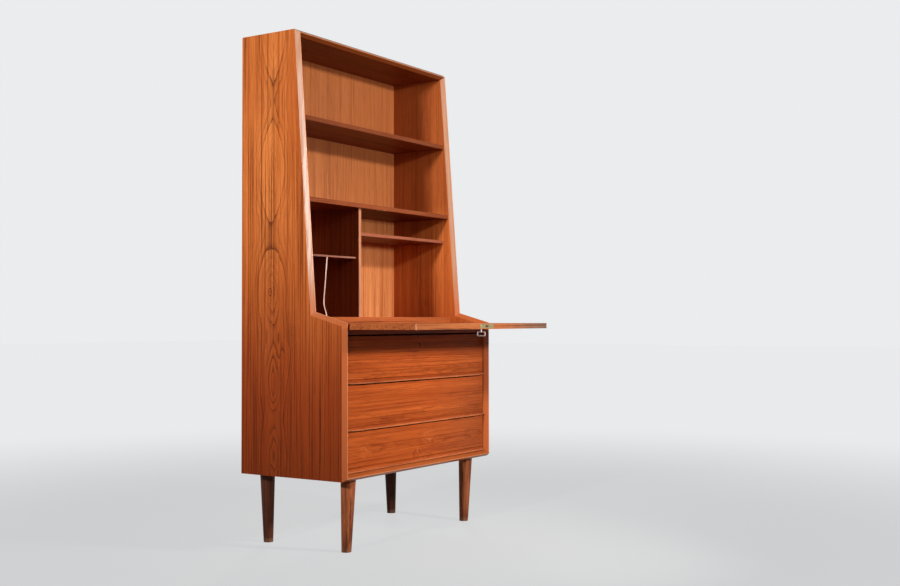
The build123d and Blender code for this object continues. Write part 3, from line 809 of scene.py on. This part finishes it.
@dataclass
class Joinery:
    """Finishes of every CAD node, and the softened arrises of its edges."""

    wood_arris: float = 0.6 * MILLIMETRE
    metal_arris: float = 0.2 * MILLIMETRE
    arris_angle: float = math.radians(28.0)
    arris_segments: int = 2
    flat_face_weight: int = 100
    weld_distance: float = 0.01 * MILLIMETRE
    worn_corner: float = 1.5 * MILLIMETRE
    # The rings' heart lies outside a leg, and under the middle of the two upper drawer fronts
    leg_heart: Tuple[float, float] = (0.05, 0.03)
    front_heart_drop: float = 0.05
    finishes: Dict[str, bpy.types.Material] = field(default_factory=dict)

    TEAK_LIGHT = (0.74, 0.22, 0.053)
    TEAK_DEEP = (0.52, 0.118, 0.022)
    TEAK_LINE = (0.08, 0.013, 0.003)
    # Painted shade on the sides' inner faces, behind the flap and in the shelf bays
    TEAK_PAINTED_SHADE = (0.33, 0.074, 0.017)
    # Painted shade towards the foot of the sides
    TEAK_FOOT_PAINTED_SHADE = (0.27, 0.03, 0.004)
    # Painted light on the right side's inner face before the drawers
    TEAK_PAINTED_LIGHT = (0.68, 0.2, 0.055)
    # Painted shade on the undersides of the boards
    UNDERSIDE_PAINTED_SHADE = (0.18, 0.032, 0.0065)
    BACK_LIGHT = (0.85, 0.325, 0.11)
    BACK_DEEP = (0.64, 0.2, 0.06)
    BACK_LINE = (0.2, 0.055, 0.018)
    # Painted shade on the back panel in the shelf bays, and more in the top bay
    BACK_BAYS_PAINTED_SHADE = (0.45, 0.125, 0.034)
    BACK_TOP_BAY_PAINTED_SHADE = (0.46, 0.13, 0.035)
    LEFT_LIP = (0.53, 0.125, 0.03)
    RIGHT_LIP = (0.5, 0.115, 0.028)
    # Painted shade on the top panel's lipping
    PANEL_LIP_PAINTED_SHADE = (0.09, 0.012, 0.002)
    # Painted shade on the partitions' left faces
    PARTITION_PAINTED_SHADE = (0.13, 0.018, 0.004)
    DIVIDER_EDGE = (0.6, 0.27, 0.16)
    LETTER_EDGE_PALE = (0.86, 0.62, 0.52)
    FLAP_END = (0.44, 0.11, 0.032)
    FLAP_EDGE = (0.4, 0.115, 0.035)
    FLAP_FAR_EDGE = (0.24, 0.155, 0.115)
    FLAP_CORNER = (0.75, 0.48, 0.36)
    FRONT_LIGHT = (0.69, 0.14, 0.025)
    FRONT_DEEP = (0.4, 0.062, 0.009)
    # Painted shade towards the lower right of the drawer fronts
    FRONT_PAINTED_SHADE = (0.36, 0.085, 0.028)
    # The lip of a drawer front, paler: partly wear, partly painted highlight
    FRONT_LIP_WEAR_AND_HIGHLIGHT = (0.78, 0.25, 0.1)
    # Painted shade in the gaps, on a drawer front's parts behind its face
    FRONT_GAP_PAINTED_SHADE = (0.12, 0.018, 0.004)
    # Painted shade in and round the keyhole
    KEYHOLE_PAINTED_SHADE = (0.03, 0.008, 0.004)
    LEG_LIGHT = (0.58, 0.165, 0.06)
    LEG_DEEP = (0.17, 0.042, 0.015)
    # Painted shade: the back legs darker than the front ones
    BACK_LEG_PAINTED_SHADE_LIGHT = (0.135, 0.042, 0.02)
    BACK_LEG_PAINTED_SHADE_DEEP = (0.06, 0.018, 0.009)
    LEG_LINE = (0.05, 0.012, 0.006)
    LEG_WORN = (0.42, 0.22, 0.13)
    BEECH_LIGHT = (0.66, 0.45, 0.26)
    BEECH_DEEP = (0.55, 0.35, 0.19)
    BEECH_LINE = (0.33, 0.19, 0.1)
    PLYWOOD_LIGHT = (0.64, 0.43, 0.25)
    PLYWOOD_DEEP = (0.52, 0.33, 0.18)
    PLYWOOD_LINE = (0.34, 0.2, 0.11)
    # Front edges of the level boards: colour and amount. The shelves, the desk floor and the deck get painted
    # shade, darkest on the highest shelves; the letter shelf's paler edge is its own colour
    FRONT_EDGE_TONES_AND_PAINTED_SHADE = {
        "upper_shelf": ((0.155, 0.03, 0.0125), 0.8),
        "middle_shelf": ((0.235, 0.05, 0.018), 0.8),
        "small_shelf": ((0.35, 0.11, 0.065), 0.8),
        "letter_shelf": ((0.38, 0.17, 0.12), 0.9),
        "desk_floor": ((0.36, 0.08, 0.024), 0.75),
        "deck": ((0.3, 0.04, 0.008), 0.8),
    }

    def _teak(self, board: Board, grain: Grain, length: float) -> Wood:
        """A plain teak sheet.

        Args:
            board: The board.
            grain: Which way its grain runs.
            length: Its length along the grain.

        Returns:
            The finish.
        """
        return Wood(
            board.node, grain, board.middle, self.TEAK_LIGHT, self.TEAK_DEEP, self.TEAK_LINE, board.seed,
            heart=PLAIN_FIGURE, heart_depth=0.05, heart_span=length,
        )

    def _side(self, board: Board) -> Wood:
        """The finish of a side: painted shade to its foot and on its inner face, painted light on the right
        side's inner face before the drawers, and figured on the left.

        Args:
            board: The left or right side.

        Returns:
            The finish.
        """
        left = board.node == "left_side"
        inner = board.face(RIGHT if left else LEFT)
        tones = (
            # painted shade towards the foot
            Tone(self.TEAK_FOOT_PAINTED_SHADE, 0.85, (NEAR_FOOT,)),
            # painted shade on the inner face, behind the flap and in the shelf bays
            Tone(self.TEAK_PAINTED_SHADE, 0.45, (inner, BEHIND_FLAP, ABOVE_DESK)),
            Tone(self.TEAK_PAINTED_SHADE, 0.75, (inner, SHELF_BAYS)),
        )
        x, _, z = board.middle
        plain = replace(
            self._teak(board, Grain.UPRIGHT_SIDE, board.span.z),
            centre=(x, SIDE_HEART_Y, z), heart_depth=0.062, heart_reach=0.09, foot_reach=0.042,
            foot_strength=3.2, rings=45.0, sway=0.04, jag=0.006, waver=0.3, line_strength=0.25,
            sharpness=3.2, streaks=0.3, streak_size=(1.5, 190.0, 190.0), patch=0.5, knot_depth=0.12,
            specular=0.08, lipping=Lipping.SIDE, lip_colour=self.RIGHT_LIP,
        )
        if not left:
            # painted light on the right side's inner face before the drawers
            return replace(plain, tones=(*tones, Tone(self.TEAK_PAINTED_LIGHT, 0.8, (inner, BEFORE_DRAWERS))))
        return replace(
            plain, tones=tones, heart=SIDE_FIGURE, rings=85.0, sway=0.022, line_strength=0.8, streaks=0.75,
            flames=SIDE_FLAMES, knots=SIDE_KNOTS, lip_colour=self.LEFT_LIP,
        )

    def _panel(self, board: Board) -> Wood:
        """The finish of the top or bottom panel, with painted shade on its underside and on the top panel's
        lipping.

        Args:
            board: The panel.

        Returns:
            The finish.
        """
        lipping = Lipping.TOP if board.node == "top_panel" else Lipping.BOTTOM
        # painted shade on the underside
        under = board.on_face(DOWN, self.UNDERSIDE_PAINTED_SHADE, 0.9)
        return replace(
            self._teak(board, Grain.LEVEL_FLAT, board.span.x), lipping=lipping,
            lip_painted_upper=self.PANEL_LIP_PAINTED_SHADE, lip_sheen=0.1, specular=0.04, tones=(under,),
        )

    def _back(self, board: Board) -> Wood:
        """The finish of the back panel: paler than the case, with painted shade in the upper bays.

        Args:
            board: The back panel.

        Returns:
            The finish.
        """
        face = board.face(FRONT)
        bays = Tone(self.BACK_BAYS_PAINTED_SHADE, 0.55, (face, SHELF_BAYS))
        top = Tone(self.BACK_TOP_BAY_PAINTED_SHADE, 0.4, (face, TOP_BAY))
        return replace(
            self._teak(board, Grain.UPRIGHT_BACK, board.span.z),
            light=self.BACK_LIGHT, deep=self.BACK_DEEP, line=self.BACK_LINE, heart_depth=0.03, rings=45.0,
            sway=0.05, line_strength=0.3, streaks=0.35, fibre=0.6, tones=(bays, top), knots=BACK_KNOTS,
        )

    def _partition(self, board: Board) -> Wood:
        """The finish of an upright partition: painted shade on its left face, pale on its front edge.

        Args:
            board: The divider or the letter divider.

        Returns:
            The finish.
        """
        shaded = board.on_face(LEFT, self.PARTITION_PAINTED_SHADE, 0.9)
        if board.node == "divider":
            edge = board.on_face(FRONT, self.DIVIDER_EDGE, 0.7)
        else:
            edge = Tone(self.LETTER_EDGE_PALE, 0.95, LETTER_EDGE)
        return replace(self._teak(board, Grain.UPRIGHT_SIDE, board.span.z), tones=(shaded, edge))

    def _shelf(self, board: Board) -> Wood:
        """The finish of a level board, with painted shade underneath and on most front edges.

        Args:
            board: A shelf, the deck, the desk floor or the flap.

        Returns:
            The finish.
        """
        if board.node == "flap":
            tones = self._flap_tones(board)
        else:
            # painted shade underneath and on the front edge
            under = board.on_face(DOWN, self.UNDERSIDE_PAINTED_SHADE, 0.95)
            tones = (under, board.on_face(FRONT, *self.FRONT_EDGE_TONES_AND_PAINTED_SHADE[board.node]))
        plain = self._teak(board, Grain.LEVEL_FLAT, board.span.x)
        return replace(plain, specular=0.08, pores=0.25, tones=tones)

    def _flap_tones(self, board: Board) -> Tuple[Tone, ...]:
        """The tones of the flap: a weak painted shade on its underside, its end, its front edge and a corner
        with wear.

        Args:
            board: The flap.

        Returns:
            The tones, each over the one before.
        """
        corner = (
            (LEFT, -board.low.x - self.worn_corner, SKIN),
            (FRONT, -board.low.y - self.worn_corner, SKIN),
        )
        return (
            board.on_face(DOWN, self.UNDERSIDE_PAINTED_SHADE, 0.35),
            board.on_face(LEFT, self.FLAP_END, 0.8),
            board.on_face(FRONT, self.FLAP_EDGE, 0.8),
            Tone(self.FLAP_FAR_EDGE, 0.8, (board.face(FRONT), FAR_END)),
            Tone(self.FLAP_CORNER, 0.85, corner),
        )

    def _drawer_front(self, board: Board) -> Wood:
        """The finish of a drawer front: redder than the case, with painted shade to its lower right, in the
        gaps behind its face and in the upper one's keyhole, and a pale coved lip, partly wear and partly
        painted highlight.

        Args:
            board: The drawer front.

        Returns:
            The finish.
        """
        tones = [
            Tone(self.FRONT_PAINTED_SHADE, 0.6, (SHADED_END,)),
            Tone(self.FRONT_LIP_WEAR_AND_HIGHLIGHT, 0.55, (COVED_LIP,)),
            Tone(self.FRONT_GAP_PAINTED_SHADE, 0.35, (BEHIND_FACES,)),
        ]
        # Painted shade in the upper drawer's keyhole
        if board.node.startswith("upper"):
            tones.append(Tone(self.KEYHOLE_PAINTED_SHADE, 0.85, KEYHOLE_SHADE_PLANES))
        plain = replace(
            self._teak(board, Grain.LEVEL_FRONT, board.span.x),
            light=self.FRONT_LIGHT, deep=self.FRONT_DEEP, line_strength=0.4, band=0.95, streaks=0.38,
            streak_size=(1.5, 320.0, 320.0), fibre=0.5, knot_depth=0.0, specular=0.045, tones=tuple(tones),
        )
        if board.node.startswith("lower"):
            return replace(plain, heart=DRAWER_FIGURE, marks=LOWER_MARKS, knots=LOWER_MARKS)
        x, y, z = board.middle
        return replace(plain, centre=(x, y, z - self.front_heart_drop))

    def _leg(self, board: Board) -> Wood:
        """The finish of a leg, with painted shade on the back legs and wear at its tip.

        Args:
            board: The leg.

        Returns:
            The finish.
        """
        x, y, z = board.middle
        right, rear = self.leg_heart
        back = board.node.startswith("leg_back")
        return replace(
            self._teak(board, Grain.UPRIGHT_SIDE, board.span.z), centre=(x + right, y + rear, z),
            light=self.BACK_LEG_PAINTED_SHADE_LIGHT if back else self.LEG_LIGHT,
            deep=self.BACK_LEG_PAINTED_SHADE_DEEP if back else self.LEG_DEEP,
            line=self.LEG_LINE, band=1.1, specular=0.1, tones=(Tone(self.LEG_WORN, 0.5, (LEG_TIP,)),),
        )

    def _beech(self, board: Board) -> Wood:
        """The finish of a plain beech board inside the case.

        Args:
            board: A drawer's side or back, a bearer or the runners.

        Returns:
            The finish.
        """
        endways = board.node.endswith("_side") or board.node == "drawer_runners"
        return Wood(
            board.node, Grain.DEPTH_SIDE if endways else Grain.LEVEL_FRONT, board.middle,
            light=self.BEECH_LIGHT, deep=self.BEECH_DEEP, line=self.BEECH_LINE, seed=board.seed,
            heart=PLAIN_FIGURE, heart_depth=0.05, line_strength=0.3, streaks=0.35, fibre=0.3, roughness=0.55,
        )

    def _plywood(self, board: Board) -> Wood:
        """The finish of a drawer's plywood bottom.

        Args:
            board: The bottom.

        Returns:
            The finish.
        """
        return Wood(
            board.node, Grain.LEVEL_FLAT, board.middle,
            light=self.PLYWOOD_LIGHT, deep=self.PLYWOOD_DEEP, line=self.PLYWOOD_LINE, seed=board.seed,
            heart=DRAWER_FIGURE, heart_depth=0.05, heart_span=board.span.x, rings=70.0, line_strength=0.35,
            streaks=0.35, fibre=0.3, roughness=0.6,
        )

    def wood_for(self, node: str) -> Wood | None:
        """The wood finish of a CAD node.

        Args:
            node: The node's name.

        Returns:
            The finish, or None where the node is metal.
        """
        board = Board(node, *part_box(node))
        in_drawer = "drawer" in node and node.endswith(("_side", "_back"))
        choices = (
            (node in ("left_side", "right_side"), self._side),
            (node in ("top_panel", "bottom_panel"), self._panel),
            (node == "back_panel", self._back),
            (node in ("divider", "letter_divider"), self._partition),
            (node.endswith("drawer_front"), self._drawer_front),
            (node.startswith("leg_") and node not in STEEL_NODES, self._leg),
            (in_drawer or node in BEECH_BOARDS, self._beech),
            (node.endswith("drawer_bottom"), self._plywood),
            (node in LEVEL_BOARDS, self._shelf),
        )
        for chosen, finish in choices:
            if chosen:
                return finish(board)
        return None

    @staticmethod
    def metal_for(node: str) -> Metal:
        """The metal finish of a CAD node.

        Args:
            node: The node's name.

        Returns:
            The finish.
        """
        if node in STEEL_NODES:
            return STEEL
        return {"flap_key": NICKEL, "flap_bolt": BOLT_BRASS}.get(node, BRASS)

    def dress(self) -> None:
        """Gives each CAD node its finish and soft edges."""
        for name, node in sorted(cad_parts.items()):
            wood = self.wood_for(name)
            finish = wood or self.metal_for(name)
            if finish.name not in self.finishes:
                self.finishes[finish.name] = finish.material()
            node.data.materials.clear()
            node.data.materials.append(self.finishes[finish.name])
            self._soften(node, self.wood_arris if wood else self.metal_arris)
            log.info("finished %s with %s", name, finish.name)

    def _soften(self, node: bpy.types.Object, width: float) -> None:
        """Rounds a node's arrises a little, with live modifiers.

        Args:
            node: The CAD node.
            width: The width of the rounding.
        """
        weld = node.modifiers.new("join_faces", "WELD")
        weld.merge_threshold = self.weld_distance
        bevel = node.modifiers.new("soft_arris", "BEVEL")
        bevel.width = width
        bevel.segments = self.arris_segments
        bevel.limit_method = "ANGLE"
        bevel.angle_limit = self.arris_angle
        bevel.use_clamp_overlap = True
        normals = node.modifiers.new("flat_faces", "WEIGHTED_NORMAL")
        normals.weight = self.flat_face_weight
        node.data.shade_smooth()


@dataclass
class Screws:
    """Small slotted screws with countersunk heads, in the brass plates of the flap's lock."""

    radius: float = 2.7 * MILLIMETRE
    height: float = 0.9 * MILLIMETRE
    proud: float = 0.25 * MILLIMETRE
    rim: float = 0.35 * MILLIMETRE
    crown: float = 0.18 * MILLIMETRE
    slot_width: float = 0.7 * MILLIMETRE
    slot_depth: float = 0.45 * MILLIMETRE
    corners: int = 28
    smooth_angle: float = math.radians(30.0)
    faceplate_reach: float = 36.0 * MILLIMETRE
    faceplate_turns: Tuple[float, float] = (0.5, 1.5)
    strike_reach: float = 18.5 * MILLIMETRE
    strike_turns: Tuple[float, float] = (1.1, 0.1)
    # A face looks up where its normal's height is more than this
    upward: float = 0.9

    def model(self, name: str, place: Vector, outward: Vector, slot_turn: float) -> bpy.types.Object:
        """Models one screw head, shaped flat on the ground and then set in its plate.

        Args:
            name: The piece's name.
            place: The middle of the head on the plate's face.
            outward: The plate's outward direction.
            slot_turn: How far the slot is turned, in radians.

        Returns:
            The screw head.
        """
        bpy.ops.object.select_all(action="DESELECT")
        bpy.ops.mesh.primitive_cylinder_add(
            vertices=self.corners, radius=self.radius, depth=self.height,
            location=(0, 0, -self.height / 2 + self.proud),
        )
        head = bpy.context.object
        head.name = name
        bpy.ops.object.transform_apply(location=True, rotation=True, scale=True)
        bpy.ops.object.mode_set(mode="EDIT")
        bpy.ops.mesh.select_all(action="DESELECT")
        bpy.ops.object.mode_set(mode="OBJECT")
        for polygon in head.data.polygons:
            polygon.select = polygon.normal.z > self.upward
        bpy.ops.object.mode_set(mode="EDIT")
        bpy.ops.mesh.select_mode(type="FACE")
        bpy.ops.mesh.inset(thickness=self.rim, depth=self.crown)
        bpy.ops.object.mode_set(mode="OBJECT")
        self._cut_slot(head, slot_turn)
        turn = outward.to_track_quat("Z", "Y").to_matrix().to_4x4()
        head.matrix_world = Matrix.Translation(place) @ turn
        bpy.ops.object.select_all(action="DESELECT")
        head.select_set(True)
        bpy.context.view_layer.objects.active = head
        bpy.ops.object.transform_apply(location=True, rotation=True, scale=True)
        bpy.ops.object.shade_smooth_by_angle(angle=self.smooth_angle)
        return head

    def _cut_slot(self, head: bpy.types.Object, slot_turn: float) -> None:
        """Cuts the driver's slot across a head.

        Args:
            head: The screw head, flat on the ground.
            slot_turn: How far the slot is turned, in radians.
        """
        bpy.ops.object.select_all(action="DESELECT")
        bpy.ops.mesh.primitive_cube_add(
            size=1.0, location=(0, 0, self.proud + self.crown), rotation=(0, 0, slot_turn),
            scale=(self.radius * 3, self.slot_width, self.slot_depth * 2),
        )
        cutter = bpy.context.object
        bpy.ops.object.select_all(action="DESELECT")
        bpy.context.view_layer.objects.active = head
        cut = head.modifiers.new("slot", "BOOLEAN")
        cut.operation = "DIFFERENCE"
        cut.solver = "EXACT"
        cut.object = cutter
        bpy.ops.object.modifier_apply(modifier=cut.name)
        bpy.data.objects.remove(cutter, do_unlink=True)

    def build(self) -> None:
        """Sets the screws of the lock's faceplate and strike plate."""
        brass = SCREW_BRASS.material()
        low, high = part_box("lock_faceplate")
        middle = (low + high) / 2
        for index, side in enumerate((-1, 1)):
            place = Vector((side * self.faceplate_reach, low.y, middle.z))
            turn = self.faceplate_turns[index]
            screw = self.model(f"faceplate_screw_{index}", place, Vector(FRONT), turn)
            self._finish(screw, brass, "flap")
        low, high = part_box("strike_plate")
        middle = (low + high) / 2
        for index, side in enumerate((-1, 1)):
            place = Vector((side * self.strike_reach, middle.y, low.z))
            turn = self.strike_turns[index]
            screw = self.model(f"strike_screw_{index}", place, Vector(DOWN), turn)
            self._finish(screw, brass, "case")

    @staticmethod
    def _finish(screw: bpy.types.Object, metal: bpy.types.Material, body: str) -> None:
        """Dresses a screw and lets it ride on a body.

        Args:
            screw: The screw head.
            metal: Its material.
            body: The body that carries its plate.
        """
        screw.data.materials.append(metal)
        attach(screw, body)
        log.info("set %s on %s", screw.name, body)


@dataclass(frozen=True)
class Lamp:
    """A studio lamp that faces a target: round with a beam that fades to its edge, or a strip."""

    name: str
    place: Point
    target: Point
    power: float
    radius: float = 0.0
    cone_degrees: float = 0.0
    strip: Tuple[float, float] | None = None
    glints: bool = True

    def build(self) -> None:
        """Makes the lamp and turns it to its target."""
        light = self._strip_light(self.strip) if self.strip else self._round_light()
        light.energy = self.power
        lamp = bpy.data.objects.new(self.name, light)
        bpy.context.scene.collection.objects.link(lamp)
        lamp.location = self.place
        lamp.rotation_euler = (Vector(self.target) - Vector(self.place)).to_track_quat("-Z", "Y").to_euler()
        lamp.visible_glossy = self.glints

    def _round_light(self) -> bpy.types.Light:
        """Makes the light of a round lamp.

        Returns:
            The light.
        """
        light = bpy.data.lights.new(self.name, "SPOT")
        light.spot_size = math.radians(self.cone_degrees)
        light.spot_blend = 1.0
        light.shadow_soft_size = self.radius
        return light

    def _strip_light(self, size: Tuple[float, float]) -> bpy.types.Light:
        """Makes the light of a strip.

        Args:
            size: The strip's width and height.

        Returns:
            The light.
        """
        light = bpy.data.lights.new(self.name, "AREA")
        light.shape = "RECTANGLE"
        light.size, light.size_y = size
        return light


# Lamps before the desk light its fronts and bays, those at its left its side and the polished
# lipping, and the last one its rear
LAMPS = (
    Lamp("front_lamp", (0.2, -1.95, 1.18), (-0.25, -0.07, 0.2), 121.0, radius=0.09, cone_degrees=68.0),
    Lamp("broad_lamp", (0.2, -1.95, 1.18), (0.0, 0.3, 1.2), 49.0, radius=0.09, cone_degrees=120.0),
    Lamp("bay_lamp", (-0.35, -2.0, 1.85), (0.05, 0.336, 1.4), 137.0, radius=0.08, cone_degrees=52.0),
    Lamp("left_lamp", (-4.5, -0.35, 1.95), (-0.44, 0.15, 1.25), 735.0, radius=0.16, cone_degrees=38.0),
    Lamp("tall_lamp", (-3.95, -1.53, 1.95), (-0.44, 0.1, 1.3), 14.5, strip=(0.36, 1.2)),
    Lamp("fill_lamp", (4.2, 3.2, 2.4), (0.2, 0.1, 0.9), 550.0, radius=0.5, cone_degrees=40.0, glints=False),
)


@dataclass
class Studio:
    """A pale floor, six lamps, a plain surround and the camera."""

    lamps: Tuple[Lamp, ...] = LAMPS
    floor_size: float = 60.0
    floor_colour: Colour = (0.4, 0.395, 0.385)
    floor_roughness: float = 0.9
    cloud_size: Point = (0.8, 0.8, 0.8)
    cloud_shade: float = 0.95
    surround: Colour = (0.83, 0.84, 0.85)
    dim_colour: Colour = (0.9, 0.95, 1.0)
    dim_strength: float = 0.012
    # The floor's share of the surround's own paleness: near the desk, and what is added far from it
    pale_near: float = 0.7
    pale_far: float = 0.28
    far_from: float = 1.0
    far_to: float = 4.5
    camera_place: Point = (-3.364, -2.3706, 0.742)
    camera_yaw: float = math.radians(32.859)
    camera_pitch: float = math.radians(1.3313)
    camera_roll: float = math.radians(0.0913)
    focal_pixels: float = 1178.77
    image_width: float = 900.0
    sensor: float = 36.0

    def build(self) -> None:
        """Makes the floor, the lamps, the surround and the camera."""
        self._floor()
        for lamp in self.lamps:
            lamp.build()
        self._world()
        self._camera()
        bpy.context.scene.view_settings.view_transform = "Standard"

    def _floor(self) -> None:
        """A wide pale floor with a faint cloudy tone, which melts into the surround far off."""
        bpy.ops.object.select_all(action="DESELECT")
        bpy.ops.mesh.primitive_plane_add(size=self.floor_size)
        floor = bpy.context.object
        floor.name = "studio_floor"
        shader = Shader("floor_paint")
        spot = shader.place(Grain.LEVEL_FLAT, ORIGIN)
        cloud = shader.noise(spot, self.cloud_size, 3.0)
        darker = tuple(level * self.cloud_shade for level in self.floor_colour)
        colour = shader.mix(cloud, self.floor_colour, darker)
        shader.set(Base_Color=colour, Roughness=self.floor_roughness)
        away = shader.length(spot).ease(self.far_from, self.far_to)
        pale = shader.node("ShaderNodeEmission", {}, {"Color": self.surround, "Strength": 1.0})
        share = shader.seen() * (away * self.pale_far + self.pale_near)
        paint = shader.pick(shader.surface)
        shader.show(shader.node("ShaderNodeMixShader", {}, {0: share, 1: paint, 2: pale}))
        floor.data.materials.append(shader.material)

    def _world(self) -> None:
        """A dim surround for light, and a pale one for the camera and for reflections."""
        world = bpy.data.worlds.new("surround")
        bpy.context.scene.world = world
        world.use_nodes = True
        tree = Tree(world.node_tree)
        dim = tree.node(
            "ShaderNodeBackground", {}, {"Color": self.dim_colour, "Strength": self.dim_strength}
        )
        pale = tree.node("ShaderNodeBackground", {}, {"Color": self.surround})
        mixed = tree.node("ShaderNodeMixShader", {}, {0: tree.seen(), 1: dim, 2: pale})
        tree.add("ShaderNodeOutputWorld", {}, {"Surface": mixed})

    def _camera(self) -> None:
        """The camera at the fitted place and angle."""
        data = bpy.data.cameras.new("camera")
        data.sensor_width = self.sensor
        data.lens = self.focal_pixels * self.sensor / self.image_width
        camera = bpy.data.objects.new("camera", data)
        bpy.context.scene.collection.objects.link(camera)
        flat = math.cos(self.camera_pitch)
        east, north = math.cos(self.camera_yaw) * flat, math.sin(self.camera_yaw) * flat
        look = Vector((east, north, math.sin(self.camera_pitch)))
        camera.location = self.camera_place
        turn = look.to_track_quat("-Z", "Y").to_matrix() @ Matrix.Rotation(-self.camera_roll, 3, "Z")
        camera.rotation_euler = turn.to_euler()
        bpy.context.scene.camera = camera


def main() -> None:
    """Dresses the desk, sets its screws, and makes the studio around it."""
    logging.basicConfig(level=logging.INFO, format="%(message)s")
    Joinery().dress()
    Screws().build()
    Studio().build()


if __name__ == "__main__":
    main()
